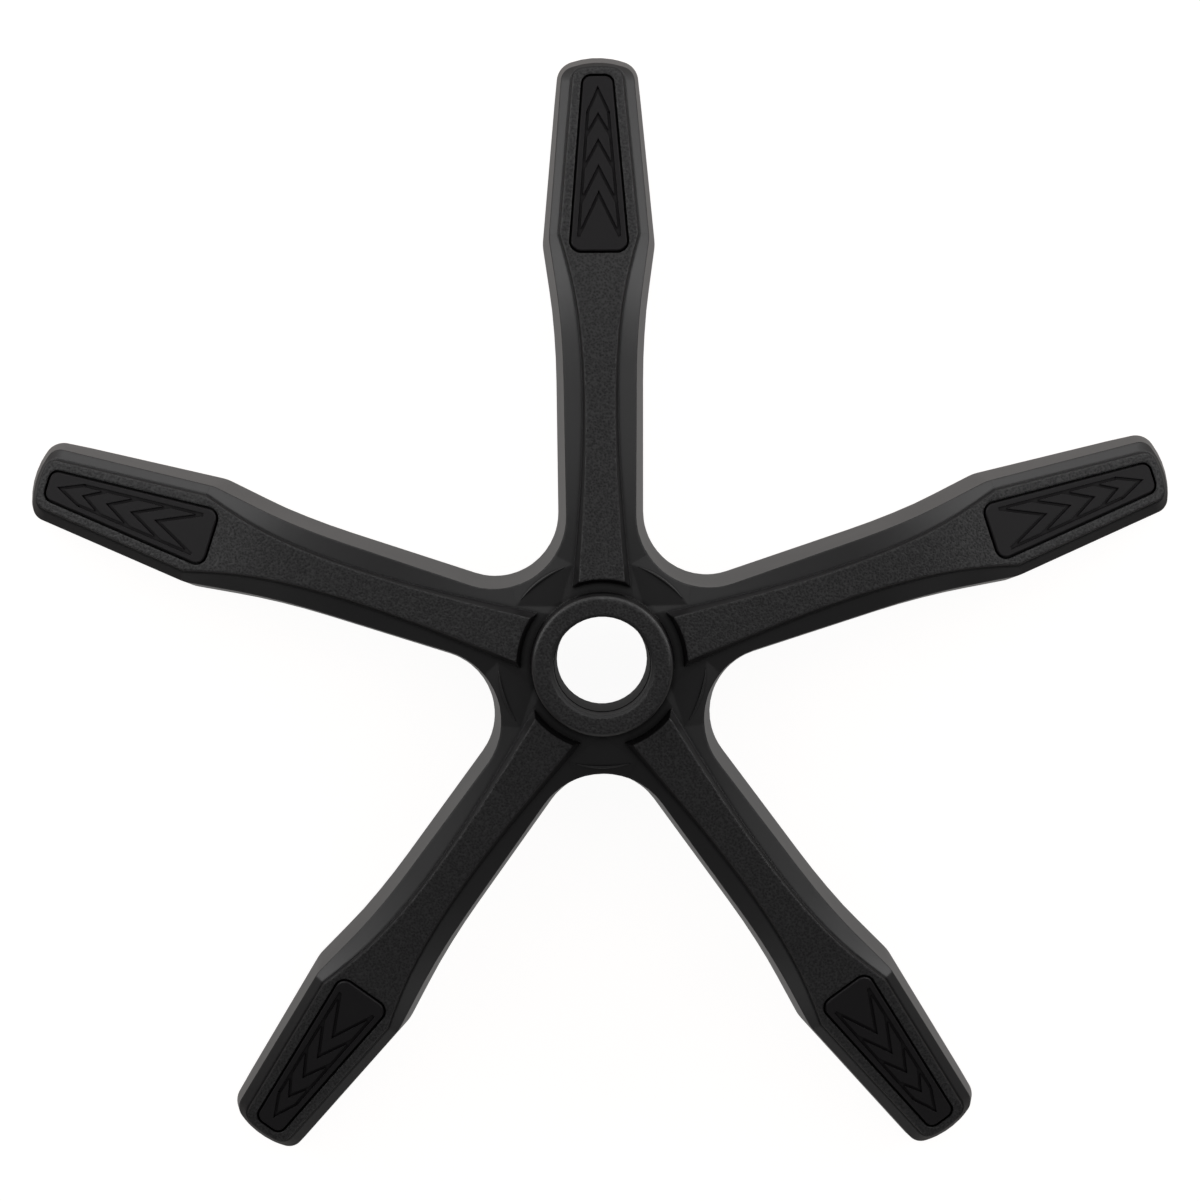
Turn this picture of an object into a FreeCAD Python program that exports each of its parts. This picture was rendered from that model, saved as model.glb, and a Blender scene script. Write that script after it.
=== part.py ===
import FreeCAD, Part
import math
import os
import Sketcher

# A star base for an office chair: one moulded star with five arms, and five foot pads set into them.
# Millimetres, +Z up. The origin is on the hub's axis, where the straight wall of its bore begins.
# One arm points along +Y, and the others follow every 72 degrees.

ARMS = 5
FIRST_ARM_ANGLE = 90.0
SECTOR = 360.0 / ARMS

# Driving sizes: lengths in millimetres, angles in degrees
SIZES = {
    # Hub
    "bore_radius": 25.2,
    "bore_land": 19.0,
    "bore_ledge": 0.4,
    "bore_taper": 1.432,
    "bore_seat_depth": 56.5,
    "bore_relief": 2.3,
    "bore_lip": 1.5,
    "collar_wall": 10.8,
    "collar_round": 2.4,
    "collar_draft": 3.0,
    "deck_depth": 15.8,
    "deck_width": 17.5,
    "deck_round": 2.0,
    "web_slope": 14.0,
    "hub_depth": 68.0,
    "hub_wall": 7.8,
    # Plan outline of the star at the level of its feet
    "arm_half_width": 24.5,
    "flare_run": 48.2,
    "flare_half_width": 25.2,
    "flare_round": 400.0,
    "knuckle_radius": 220.2,
    "knuckle_half_width": 31.4,
    "knuckle_round": 26.0,
    "arm_reach": 317.5,
    "tip_half_width": 21.3,
    "tip_corner_round": 11.0,
    "tip_bulge": 7.0,
    "tip_round": 45.0,
    "valley_round": 30.6,
    "wall_draft": 5.2,
    "tip_lean": 13.0,
    # Side profile of the arm
    "foot_depth": 91.0,
    "rim_lift": 1.5,
    "keel_offset": 35.2,
    "keel_depth": 70.5,
    "keel_slope": 9.6,
    "knee_offset": 32.7,
    "knee_depth": 18.8,
    "spine_slope": 4.5,
    "pad_slope": 15.0,
    "bend_round": 300.0,
    # Spine and shoulders
    "spine_gap": 8.0,
    "spine_end_lean": 12.0,
    "spine_hub_half_width": 11.6,
    "spine_waist_radius": 122.0,
    "spine_waist_half_width": 7.5,
    "spine_draft": 20.0,
    "hub_step": 7.5,
    "plateau_step": 2.4,
    "ledge": 0.8,
    "shoulder_slope": 10.0,
    "facet_slope": 35.0,
    # Plateau that holds the foot pad
    "plateau_start_offset": 1.8,
    "plateau_start_half_width": 20.0,
    "plateau_end_margin": 8.0,
    "plateau_end_half_width": 12.6,
    "plateau_corner_round": 6.0,
    "plateau_bulge": 2.0,
    "plateau_tip_round": 40.0,
    # Underside
    "wall": 4.2,
    "skin": 5.0,
    "rib": 3.0,
    "rib_start_radius": 80.0,
    "rib_pitch": 46.0,
    "castor_margin": 27.5,
    "castor_boss_wall": 5.95,
    "castor_socket_radius": 5.55,
    "castor_socket_depth": 30.0,
    # Foot pad
    "pad_start_offset": 7.3,
    "pad_end_margin": 3.4,
    "pad_border": 5.2,
    "pad_inner_round": 5.3,
    "pad_outer_round": 4.3,
    "pad_gap": 1.2,
    "pad_seat_depth": 2.2,
    "pad_proud": 0.4,
    "pad_rim_bevel": 0.5,
    "groove_width": 1.7,
    "groove_depth": 1.0,
    "chevron_tip_margin": 7.6,
    "chevron_last_margin": 30.9,
    "chevron_border": 3.55,
    "chevron_shoulder_margin": 20.0,
    "chevron_foot_margin": 7.5,
    "clip_length": 8.0,
    "clip_thickness": 2.4,
    "clip_clearance": 0.2,
    "clip_reach": 5.0,
    "clip_spacing": 26.0,
    "clip_half_span": 7.0,
}

# Share of the way along the chevrons' side lines at which each chevron's foot lies
CHEVRON_FEET = (0.0, 0.2, 0.46, 0.73, 1.0)

# Number of cross-sections that the spine and the shoulders are drawn through, outside and inside
OUTER_STATIONS = 8
INNER_STATIONS = 4

# Powers that shape the spine: its width towards the hub and the plateau, and its height
HUB_FLARE_POWER = 1.6
PLATEAU_FLARE_POWER = 2.6
STEP_POWER = 1.7
SHOULDER_POWER = 1.3

# Distance within which two levels or radii count as the same
NEAR = 0.01

document = FreeCAD.newDocument("star_base")
sheet = document.addObject("Spreadsheet::Sheet", "sizes")
for row, (alias, value) in enumerate(SIZES.items(), start=1):
    sheet.set("A%d" % row, alias)
    sheet.set("B%d" % row, str(value))
    sheet.setAlias("B%d" % row, alias)
document.recompute()


def size(alias):
    """A driving size, read from the sheet."""
    return float(sheet.get(alias))


def tangent(alias):
    """Tangent of a driving angle."""
    return math.tan(math.radians(size(alias)))


# Radii that follow from the driving sizes
COLLAR_RADIUS = size("bore_radius") + size("collar_wall")
DECK_RADIUS = COLLAR_RADIUS + size("deck_width")
SPINE_END_RADIUS = COLLAR_RADIUS + size("spine_gap")
HUB_TUBE_RADIUS = size("bore_radius") + size("hub_wall")
FLARE_RADIUS = size("knuckle_radius") - size("flare_run")
KEEL_RADIUS = size("knuckle_radius") - size("keel_offset")
KNEE_RADIUS = size("knuckle_radius") - size("knee_offset")
TIP_RADIUS = size("arm_reach") + size("tip_bulge")
PLATEAU_START = size("knuckle_radius") + size("plateau_start_offset")
PLATEAU_CORNER = size("arm_reach") - size("plateau_end_margin")
CASTOR_CIRCLE = size("arm_reach") - size("castor_margin")
CASTOR_BOSS_RADIUS = size("castor_socket_radius") + size("castor_boss_wall")
PAD_START = size("knuckle_radius") - size("pad_start_offset")
PAD_END = PLATEAU_CORNER - size("pad_end_margin")
PAD_INNER_HALF_WIDTH = size("plateau_start_half_width") - size("pad_border")
PAD_OUTER_HALF_WIDTH = size("plateau_end_half_width") - size("pad_border")

# Levels and a distance that reach past the whole part
ABOVE = size("bore_lip") + size("collar_round")
BELOW = -size("foot_depth") - 2.0 * size("skin")
REACH = 1.2 * TIP_RADIUS


def spine_height(radius):
    """Level of the spine's top line: two slopes joined by a tangent arc at the knee."""
    spine = math.radians(size("spine_slope"))
    pad = math.radians(size("pad_slope"))
    bend = size("bend_round")
    run = bend * math.tan((pad - spine) / 2.0)
    start = KNEE_RADIUS - run * math.cos(spine)
    finish = KNEE_RADIUS + run * math.cos(pad)
    if radius >= finish:
        return -size("knee_depth") - (radius - KNEE_RADIUS) * math.tan(pad)
    if radius <= start:
        return -size("knee_depth") + (KNEE_RADIUS - radius) * math.tan(spine)
    centre_radius = start - bend * math.sin(spine)
    centre_height = spine_height(start) - bend * math.cos(spine)
    return centre_height + math.sqrt(bend ** 2 - (radius - centre_radius) ** 2)


def spine_half_width(radius):
    """Half the spine's width: wide at the hub, narrow at the waist, flaring to the plateau."""
    waist = size("spine_waist_half_width")
    waist_radius = size("spine_waist_radius")
    if radius < waist_radius:
        share = (waist_radius - radius) / (waist_radius - SPINE_END_RADIUS)
        return waist + (size("spine_hub_half_width") - waist) * share ** HUB_FLARE_POWER
    share = (radius - waist_radius) / (PLATEAU_START - waist_radius)
    return waist + (size("plateau_start_half_width") - waist) * share ** PLATEAU_FLARE_POWER


def spine_step(radius):
    """Height of the spine above its shoulders, falling from the hub to the plateau."""
    share = max(0.0, (PLATEAU_START - radius) / (PLATEAU_START - DECK_RADIUS))
    return size("plateau_step") + (size("hub_step") - size("plateau_step")) * share ** STEP_POWER


def facet_slope_at_start():
    """Slope of the plateau's facet in the upright plane where the plateau starts."""
    pad = math.radians(size("pad_slope"))
    lean = math.cos(pad) / tangent("facet_slope")
    narrowing = size("plateau_end_half_width") - size("plateau_start_half_width")
    run = PLATEAU_CORNER - PLATEAU_START
    return 1.0 / (lean + narrowing / run * math.cos(pad) * math.sin(pad))


def shoulder_slope(radius):
    """Sideways slope of the shoulders, steepening towards the plateau's facet."""
    share = max(0.0, (radius - DECK_RADIUS) / (PLATEAU_START - DECK_RADIUS))
    hub = tangent("shoulder_slope")
    return hub + (facet_slope_at_start() - hub) * share ** SHOULDER_POWER


def rounded_wire(points, rounds, level):
    """Closed wire of straight runs, joined by a tangent arc at each corner that has a round."""
    lift = FreeCAD.Vector(0, 0, level)
    starts = []
    middles = []
    finishes = []
    for index, corner in enumerate(points):
        back = (points[index - 1] - corner).normalize()
        ahead = (points[(index + 1) % len(points)] - corner).normalize()
        half = back.getAngle(ahead) / 2.0
        run = rounds[index] / math.tan(half)
        inward = rounds[index] / math.sin(half) - rounds[index]
        starts.append(corner + back * run + lift)
        middles.append(corner + (back + ahead).normalize() * inward + lift)
        finishes.append(corner + ahead * run + lift)
    edges = []
    for index in range(len(points)):
        if rounds[index] > 0.0:
            edges.append(Part.Arc(starts[index], middles[index], finishes[index]).toShape())
        edges.append(Part.LineSegment(finishes[index], starts[(index + 1) % len(points)]).toShape())
    return Part.Wire(edges)


def inset_points(points, distances):
    """The outline with each side moved inward by its own distance; its points run counter-clockwise."""
    moved = []
    for index, corner in enumerate(points):
        arriving = (corner - points[index - 1]).normalize()
        leaving = (points[(index + 1) % len(points)] - corner).normalize()
        inward_before = FreeCAD.Vector(-arriving.y, arriving.x, 0)
        inward_after = FreeCAD.Vector(-leaving.y, leaving.x, 0)
        before = distances[index - 1]
        after = distances[index]
        overlap = inward_before.dot(inward_after)
        shift = inward_before * (before - after * overlap) + inward_after * (after - before * overlap)
        moved.append(corner + shift / (1.0 - overlap ** 2))
    return moved


def concentric_rounds(points, rounds, inset):
    """Rounds that keep their centres when the outline moves inward, larger in valleys than on knuckles."""
    moved = []
    for index, corner in enumerate(points):
        arriving = corner - points[index - 1]
        leaving = points[(index + 1) % len(points)] - corner
        turn = math.copysign(inset, arriving.cross(leaving).z)
        moved.append(rounds[index] - turn if rounds[index] > 0.0 else 0.0)
    return moved


def side_half_width(radius):
    """Half the arm's width at foot level on the straight run from the knuckle to the tip."""
    share = (radius - size("knuckle_radius")) / (size("arm_reach") - size("knuckle_radius"))
    return size("knuckle_half_width") + (size("tip_half_width") - size("knuckle_half_width")) * share


def star_corners(plain_sides):
    """Corners of the star's outline at foot level, with square arm ends, and the round at each."""
    flare_round = 0.0 if plain_sides else size("flare_round")
    knuckle_round = 0.0 if plain_sides else size("knuckle_round")
    half_arm = [
        (FLARE_RADIUS, size("flare_half_width"), flare_round),
        (size("knuckle_radius"), size("knuckle_half_width"), knuckle_round),
        (TIP_RADIUS, side_half_width(TIP_RADIUS), 0.0),
    ]
    half_sector = math.radians(SECTOR / 2.0)
    valley = size("arm_half_width") / math.sin(half_sector)
    lower = [(along, -across, turn) for along, across, turn in half_arm]
    upper = list(reversed(half_arm))
    gap = [(valley * math.cos(half_sector), valley * math.sin(half_sector), size("valley_round"))]
    points = []
    rounds = []
    for arm in range(ARMS):
        turned = FreeCAD.Rotation(FreeCAD.Vector(0, 0, 1), SECTOR * arm)
        for along, across, turn in lower + upper + gap:
            points.append(turned.multVec(FreeCAD.Vector(along, across, 0)))
            rounds.append(turn)
    return points, rounds


def tip_start():
    """Radius at which the rounded end of the arm takes over from its straight sides."""
    return size("arm_reach") - 2.0 * size("tip_half_width")


def beyond(radius):
    """The half space on the far side of an upright plane across the arm."""
    return Part.makeBox(REACH, 2.0 * REACH, 4.0 * REACH, FreeCAD.Vector(radius, -REACH, -2.0 * REACH))


def drafted_inset(level):
    """How far a drafted wall has moved in at a level above the feet."""
    return (level + size("foot_depth")) * tangent("wall_draft")


def star_block(inset):
    """The star's outline raised with drafted walls, moved inward by an inset; plain inside."""
    points, rounds = star_corners(inset > 0.0)
    wires = []
    for level in (BELOW, ABOVE):
        moved = inset + drafted_inset(level)
        outline = inset_points(points, [moved] * len(points))
        wires.append(rounded_wire(outline, concentric_rounds(points, rounds, moved), level))
    return Part.makeLoft(wires, True, True).cut(beyond(tip_start()))


def tip_block(inset):
    """The rounded end of the arm: the same drafted sides, and an end wall that leans back further."""
    back = size("knuckle_radius")
    points = [
        FreeCAD.Vector(back, -side_half_width(back), 0),
        FreeCAD.Vector(size("arm_reach"), -size("tip_half_width"), 0),
        FreeCAD.Vector(TIP_RADIUS, 0, 0),
        FreeCAD.Vector(size("arm_reach"), size("tip_half_width"), 0),
        FreeCAD.Vector(back, side_half_width(back), 0),
    ]
    wires = []
    for level in (BELOW, spine_height(tip_start())):
        side = inset + drafted_inset(level)
        end = inset + (level + size("foot_depth")) * tangent("tip_lean")
        corner = max(size("tip_corner_round") - side, size("ledge"))
        rounds = [0.0, corner, size("tip_round") - side, corner, 0.0]
        wires.append(rounded_wire(inset_points(points, [side, end, end, side, side]), rounds, level))
    return Part.makeLoft(wires, True, True).common(beyond(tip_start()))


def sector_block():
    """The wedge of space that belongs to the arm along +X."""
    side = REACH * math.tan(math.radians(SECTOR / 2.0))
    corners = [
        FreeCAD.Vector(0, 0, BELOW),
        FreeCAD.Vector(REACH, -side, BELOW),
        FreeCAD.Vector(REACH, side, BELOW),
    ]
    face = Part.Face(Part.makePolygon(corners + corners[:1]))
    return face.extrude(FreeCAD.Vector(0, 0, ABOVE - BELOW))


def section_loft(section, stations, ruled):
    """A solid through upright cross-sections of the arm, from the hub to the plateau."""
    start = SPINE_END_RADIUS - size("bore_radius")
    wires = []
    for station in range(stations):
        radius = start + (PLATEAU_START - start) * station / (stations - 1.0)
        half = section(radius)
        corners = [FreeCAD.Vector(radius, across, level) for across, level in half]
        corners += [FreeCAD.Vector(radius, -across, level) for across, level in reversed(half)]
        wires.append(Part.makePolygon(corners + corners[:1]))
    return Part.makeLoft(wires, True, ruled)


def spine_loft():
    """The raised spine from the hub to the plateau."""
    deep = size("hub_step") + size("skin")

    def section(radius):
        top = spine_height(radius)
        half = spine_half_width(radius)
        return [(half, top), (half + deep * tangent("spine_draft"), top - deep)]

    return section_loft(section, OUTER_STATIONS, False)


def shoulder_loft(drop):
    """The sloping shoulders from the hub to the plateau, wider than the arm; plain runs where sunk."""
    wide = 2.0 * size("arm_half_width")

    def section(radius):
        step = spine_step(radius)
        top = spine_height(radius) - step - drop
        half = spine_half_width(radius) + step * tangent("spine_draft") + size("ledge")
        return [(half, top), (half + wide, top - wide * shoulder_slope(radius)), (half + wide, BELOW)]

    if drop > 0.0:
        return section_loft(section, INNER_STATIONS, True)
    return section_loft(section, OUTER_STATIONS, False)


def slope_frame(radius):
    """Placement on the sloping plane of the arm's end, over a radius, with X down the slope."""
    level = -size("knee_depth") - (radius - KNEE_RADIUS) * tangent("pad_slope")
    turn = FreeCAD.Rotation(FreeCAD.Vector(0, 1, 0), size("pad_slope"))
    return FreeCAD.Placement(FreeCAD.Vector(radius, 0, level), turn)


def slope_length(start, finish):
    """Distance down the slope from one radius to another."""
    return (finish - start) / math.cos(math.radians(size("pad_slope")))


def plateau_block(drop):
    """The end of the arm: the plateau, its small step and the facets that wrap round the tip."""
    back = -2.0 * size("plateau_start_half_width")
    corner = slope_length(PLATEAU_START, PLATEAU_CORNER)
    end = slope_length(PLATEAU_START, PLATEAU_CORNER + size("plateau_bulge"))
    narrowing = (size("plateau_start_half_width") - size("plateau_end_half_width")) / corner
    back_half = size("plateau_start_half_width") - narrowing * back
    points = [
        FreeCAD.Vector(back, -back_half, 0),
        FreeCAD.Vector(corner, -size("plateau_end_half_width"), 0),
        FreeCAD.Vector(end, 0, 0),
        FreeCAD.Vector(corner, size("plateau_end_half_width"), 0),
        FreeCAD.Vector(back, back_half, 0),
    ]
    step = size("plateau_step")
    foot = step * tangent("spine_draft")
    wide = size("tip_half_width")
    outer = foot + size("ledge") + wide
    profile = [
        (0.0, 0.0),
        (foot, -step),
        (foot + size("ledge"), -step),
        (outer, -step - wide * tangent("facet_slope")),
        (outer, BELOW),
    ]
    wires = []
    for spread, level in profile:
        corner_round = size("plateau_corner_round") + spread
        rounds = [0.0, corner_round, size("plateau_tip_round") + spread, corner_round, 0.0]
        moved = inset_points(points, [-spread] * len(points))
        wires.append(rounded_wire(moved, rounds, level))
    block = Part.makeLoft(wires, True, True)
    block.Placement = slope_frame(PLATEAU_START)
    block.translate(FreeCAD.Vector(0, 0, -drop))
    return block.common(beyond(PLATEAU_START))


def revolved(points):
    """A solid turned round the hub's axis from an outline of (radius, level) points."""
    corners = [FreeCAD.Vector(radius, 0, level) for radius, level in points]
    face = Part.Face(Part.makePolygon(corners + corners[:1]))
    return face.revolve(FreeCAD.Vector(), FreeCAD.Vector(0, 0, 1), 360.0)


def deck_block():
    """The round deck under the collar, with a rounded edge and the cone that falls away from it."""
    deck = -size("deck_depth")
    slope = math.radians(size("web_slope"))
    turn = size("deck_round")
    flat = DECK_RADIUS - turn * math.tan(slope / 2.0)
    centre = FreeCAD.Vector(flat, 0, deck - turn)
    arc_middle = centre + FreeCAD.Vector(math.sin(slope / 2.0), 0, math.cos(slope / 2.0)) * turn
    arc_end = centre + FreeCAD.Vector(math.sin(slope), 0, math.cos(slope)) * turn
    outer = 2.0 * DECK_RADIUS
    rim = FreeCAD.Vector(outer, 0, arc_end.z - (outer - arc_end.x) * math.tan(slope))
    edges = [
        Part.LineSegment(FreeCAD.Vector(0, 0, deck), FreeCAD.Vector(flat, 0, deck)).toShape(),
        Part.Arc(FreeCAD.Vector(flat, 0, deck), arc_middle, arc_end).toShape(),
        Part.LineSegment(arc_end, rim).toShape(),
        Part.LineSegment(rim, FreeCAD.Vector(outer, 0, BELOW)).toShape(),
        Part.LineSegment(FreeCAD.Vector(outer, 0, BELOW), FreeCAD.Vector(0, 0, BELOW)).toShape(),
        Part.LineSegment(FreeCAD.Vector(0, 0, BELOW), FreeCAD.Vector(0, 0, deck)).toShape(),
    ]
    return Part.Face(Part.Wire(edges)).revolve(FreeCAD.Vector(), FreeCAD.Vector(0, 0, 1), 360.0)


def deck_ceiling():
    """The hollow's ceiling under the deck: the deck and its cone, sunk by the skin."""
    level = -size("deck_depth") - size("skin")
    outer = 2.0 * DECK_RADIUS
    rim = level - (outer - DECK_RADIUS) * tangent("web_slope")
    return revolved([(0, level), (DECK_RADIUS, level), (outer, rim), (outer, BELOW), (0, BELOW)])


def keel_block():
    """Everything above the arm's lower edge, which drops from the hub to the castor end."""
    rim = -size("foot_depth") + size("rim_lift")
    fall = size("keel_depth") + rim
    flat = KEEL_RADIUS - fall / tangent("keel_slope")
    corners = [
        FreeCAD.Vector(-REACH, -REACH, -size("hub_depth")),
        FreeCAD.Vector(HUB_TUBE_RADIUS, -REACH, -size("hub_depth")),
        FreeCAD.Vector(KEEL_RADIUS, -REACH, -size("keel_depth")),
        FreeCAD.Vector(flat, -REACH, rim),
        FreeCAD.Vector(REACH, -REACH, rim),
        FreeCAD.Vector(REACH, -REACH, ABOVE),
        FreeCAD.Vector(-REACH, -REACH, ABOVE),
    ]
    face = Part.Face(Part.makePolygon(corners + corners[:1]))
    return face.extrude(FreeCAD.Vector(0, 2.0 * REACH, 0))


def spine_end_cone():
    """The space round the collar that the spine's inner end stops at, leaning back from the hub."""
    lean = tangent("spine_end_lean")
    level = spine_height(SPINE_END_RADIUS)
    top = SPINE_END_RADIUS + (ABOVE - level) * lean
    low = SPINE_END_RADIUS - (level + size("hub_depth")) * lean
    return revolved([(0, -size("hub_depth")), (low, -size("hub_depth")), (top, ABOVE), (0, ABOVE)])


def arm_ribs():
    """The ribs, the hub's tube wall, its webs and the castor boss that stand inside the hollow arm."""
    rib = size("rib")
    half = rib / 2.0
    tall = ABOVE - BELOW
    solids = [Part.makeBox(CASTOR_CIRCLE, rib, tall, FreeCAD.Vector(0, -half, BELOW))]
    places = [CASTOR_CIRCLE]
    radius = size("rib_start_radius")
    while radius < CASTOR_CIRCLE - CASTOR_BOSS_RADIUS:
        places.append(radius)
        radius += size("rib_pitch")
    for place in places:
        solids.append(Part.makeBox(rib, 2.0 * REACH, tall, FreeCAD.Vector(place - half, -REACH, BELOW)))
    solids.append(Part.makeCylinder(CASTOR_BOSS_RADIUS, tall, FreeCAD.Vector(CASTOR_CIRCLE, 0, BELOW)))
    solids.append(Part.makeCylinder(HUB_TUBE_RADIUS, tall, FreeCAD.Vector(0, 0, BELOW)))
    for side in (-1.0, 1.0):
        web = Part.makeBox(2.0 * DECK_RADIUS, rib, tall, FreeCAD.Vector(0, -half, BELOW))
        web.rotate(FreeCAD.Vector(), FreeCAD.Vector(0, 0, 1), side * SECTOR / 2.0)
        solids.append(web)
    return solids[0].fuse(solids[1:])


def pad_length():
    """Length of the foot pad down the slope."""
    return slope_length(PAD_START, PAD_END)


def pad_corners():
    """Corners of the foot pad's outline, from its inner end at the origin to its narrow outer end."""
    return [
        FreeCAD.Vector(0, -PAD_INNER_HALF_WIDTH, 0),
        FreeCAD.Vector(pad_length(), -PAD_OUTER_HALF_WIDTH, 0),
        FreeCAD.Vector(pad_length(), PAD_OUTER_HALF_WIDTH, 0),
        FreeCAD.Vector(0, PAD_INNER_HALF_WIDTH, 0),
    ]


def clip_places():
    """Middles of the pad's clips, in pairs either side of its middle."""
    places = []
    for end in (-0.5, 0.5):
        along = pad_length() / 2.0 + end * size("clip_spacing")
        for side in (-1.0, 1.0):
            places.append(FreeCAD.Vector(along, side * size("clip_half_span"), 0))
    return places


def pad_seat():
    """The recess for the foot pad and the slots for its clips."""
    gap = size("pad_gap")
    points = pad_corners()
    inner = size("pad_inner_round") + gap
    outer = size("pad_outer_round") + gap
    opening = inset_points(points, [-gap] * len(points))
    floor = rounded_wire(opening, [inner, outer, outer, inner], -size("pad_seat_depth"))
    recess = Part.Face(floor).extrude(FreeCAD.Vector(0, 0, 2.0 * size("skin")))
    long = size("clip_length") + 2.0 * size("clip_clearance")
    thick = size("clip_thickness") + 2.0 * size("clip_clearance")
    deep = 2.0 * size("skin") + size("clip_reach")
    corner = FreeCAD.Vector(-long / 2.0, -thick / 2.0, -deep)
    slots = [Part.makeBox(long, thick, deep, place + corner) for place in clip_places()]
    seat = recess.fuse(slots)
    seat.Placement = slope_frame(PAD_START)
    return seat


def castor_socket():
    """The blind hole for a castor's stem, open downward."""
    mouth = FreeCAD.Vector(CASTOR_CIRCLE, 0, -size("foot_depth"))
    return Part.makeCylinder(size("castor_socket_radius"), size("castor_socket_depth"), mouth)


def castor_boss():
    """The castor boss, from its foot below the arm's rim up to the skin under the plateau."""
    foot = FreeCAD.Vector(CASTOR_CIRCLE, 0, -size("foot_depth"))
    top = spine_height(CASTOR_CIRCLE + CASTOR_BOSS_RADIUS) - size("skin")
    return Part.makeCylinder(CASTOR_BOSS_RADIUS, top + size("foot_depth"), foot)


def arm_solid():
    """One hollow arm with its share of the hub's deck, along +X."""
    wedge = sector_block()
    roof = shoulder_loft(0.0).fuse([plateau_block(0.0), deck_block()])
    spine = spine_loft().cut(spine_end_cone())
    body = star_block(0.0).common(wedge).fuse(tip_block(0.0))
    outside = body.common(roof).common(keel_block()).fuse(spine)
    ceiling = shoulder_loft(size("skin")).fuse([plateau_block(size("skin")), deck_ceiling()])
    inside = star_block(size("wall")).common(wedge).fuse(tip_block(size("wall")))
    hollow = inside.common(ceiling).cut(arm_ribs())
    return outside.cut(hollow).fuse(castor_boss()).cut([pad_seat(), castor_socket()])


def fail_if_broken():
    """Stop if any object of the document failed."""
    for item in document.Objects:
        if "Invalid" in item.State or "Error" in item.State:
            raise RuntimeError("failed: " + item.Name)


def bound(kind, name, expressions):
    """A new object whose properties follow expressions on the sheet."""
    item = document.addObject(kind, name)
    for target, expression in expressions.items():
        item.setExpression(target, expression)
    return item


def arm_placement(index):
    """Turn that carries the arm along +X to its place in the star."""
    turn = FIRST_ARM_ANGLE + SECTOR * index
    return FreeCAD.Placement(FreeCAD.Vector(), FreeCAD.Rotation(FreeCAD.Vector(0, 0, 1), turn))


def make_bore_tool():
    """The bore for the gas column: a bevelled lip, a straight land, a tapered seat and a relief."""
    lip = bound("Part::Cone", "bore_lip_tool", {
        "Radius1": "sizes.bore_radius",
        "Radius2": "sizes.bore_radius + sizes.bore_lip",
        "Height": "sizes.bore_lip",
    })
    land = bound("Part::Cylinder", "bore_land_tool", {
        "Radius": "sizes.bore_radius",
        "Height": "sizes.bore_land",
        "Placement.Base.z": "-sizes.bore_land",
    })
    seat_height = "(sizes.bore_seat_depth - sizes.bore_land)"
    seat = bound("Part::Cone", "bore_seat_tool", {
        "Radius1": "sizes.bore_radius - sizes.bore_ledge - tan(sizes.bore_taper) * " + seat_height,
        "Radius2": "sizes.bore_radius - sizes.bore_ledge",
        "Height": seat_height,
        "Placement.Base.z": "-sizes.bore_seat_depth",
    })
    relief = bound("Part::Cylinder", "bore_relief_tool", {
        "Radius": "sizes.bore_radius + sizes.bore_relief",
        "Height": "sizes.hub_depth - sizes.bore_seat_depth",
        "Placement.Base.z": "-sizes.hub_depth",
    })
    tool = document.addObject("Part::MultiFuse", "bore_tool")
    tool.Shapes = [lip, land, seat, relief]
    return tool


def make_star_base():
    """The star: five arms and the hub in one moulding, bored for the gas column."""
    pieces = []
    shape = arm_solid()
    for index in range(ARMS):
        arm = document.addObject("Part::Feature", "arm_%d" % (index + 1))
        arm.Shape = shape
        arm.Placement = arm_placement(index)
        pieces.append(arm)
    pieces.append(bound("Part::Cylinder", "hub_tube", {
        "Radius": "sizes.bore_radius + sizes.hub_wall",
        "Height": "sizes.hub_depth",
        "Placement.Base.z": "-sizes.hub_depth",
    }))
    collar_height = "(sizes.deck_depth + sizes.bore_lip + sizes.skin)"
    collar_radius = "sizes.bore_radius + sizes.collar_wall"
    pieces.append(bound("Part::Cone", "collar", {
        "Radius1": collar_radius + " + tan(sizes.collar_draft) * " + collar_height,
        "Radius2": collar_radius,
        "Height": collar_height,
        "Placement.Base.z": "-sizes.deck_depth - sizes.skin",
    }))
    blank = document.addObject("Part::MultiFuse", "star_blank")
    blank.Shapes = pieces
    blank.Refine = True
    bored = document.addObject("Part::Cut", "star_bored")
    bored.Base = blank
    bored.Tool = make_bore_tool()
    document.recompute()
    fail_if_broken()
    edges = []
    for number, edge in enumerate(bored.Shape.Edges, start=1):
        on_top = abs(edge.BoundBox.Center.z - size("bore_lip")) < NEAR
        if on_top and abs(edge.BoundBox.XLength - 2.0 * COLLAR_RADIUS) < NEAR:
            edges.append((number, size("collar_round"), size("collar_round")))
    star = document.addObject("Part::Fillet", "star")
    star.Base = bored
    star.Edges = edges
    star.Label = "star_base"
    return star


def plane_of(body, role):
    """One of a body's own origin planes."""
    return next(plane for plane in body.Origin.OriginFeatures if plane.Role == role)


def new_sketch(body, name, level):
    """A sketch on the body's ground plane, raised to a level given as an expression."""
    sketch = body.newObject("Sketcher::SketchObject", name)
    sketch.AttachmentSupport = [(plane_of(body, "XY_Plane"), "")]
    sketch.MapMode = "FlatFace"
    sketch.setExpression("AttachmentOffset.Base.z", level)
    return sketch


def add_polygon(sketch, points):
    """Straight lines through the points, closed and joined end to end."""
    first = sketch.GeometryCount
    count = len(points)
    for index in range(count):
        sketch.addGeometry(Part.LineSegment(points[index], points[(index + 1) % count]))
    for index in range(count):
        following = first + (index + 1) % count
        sketch.addConstraint(Sketcher.Constraint("Coincident", first + index, 2, following, 1))


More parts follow.
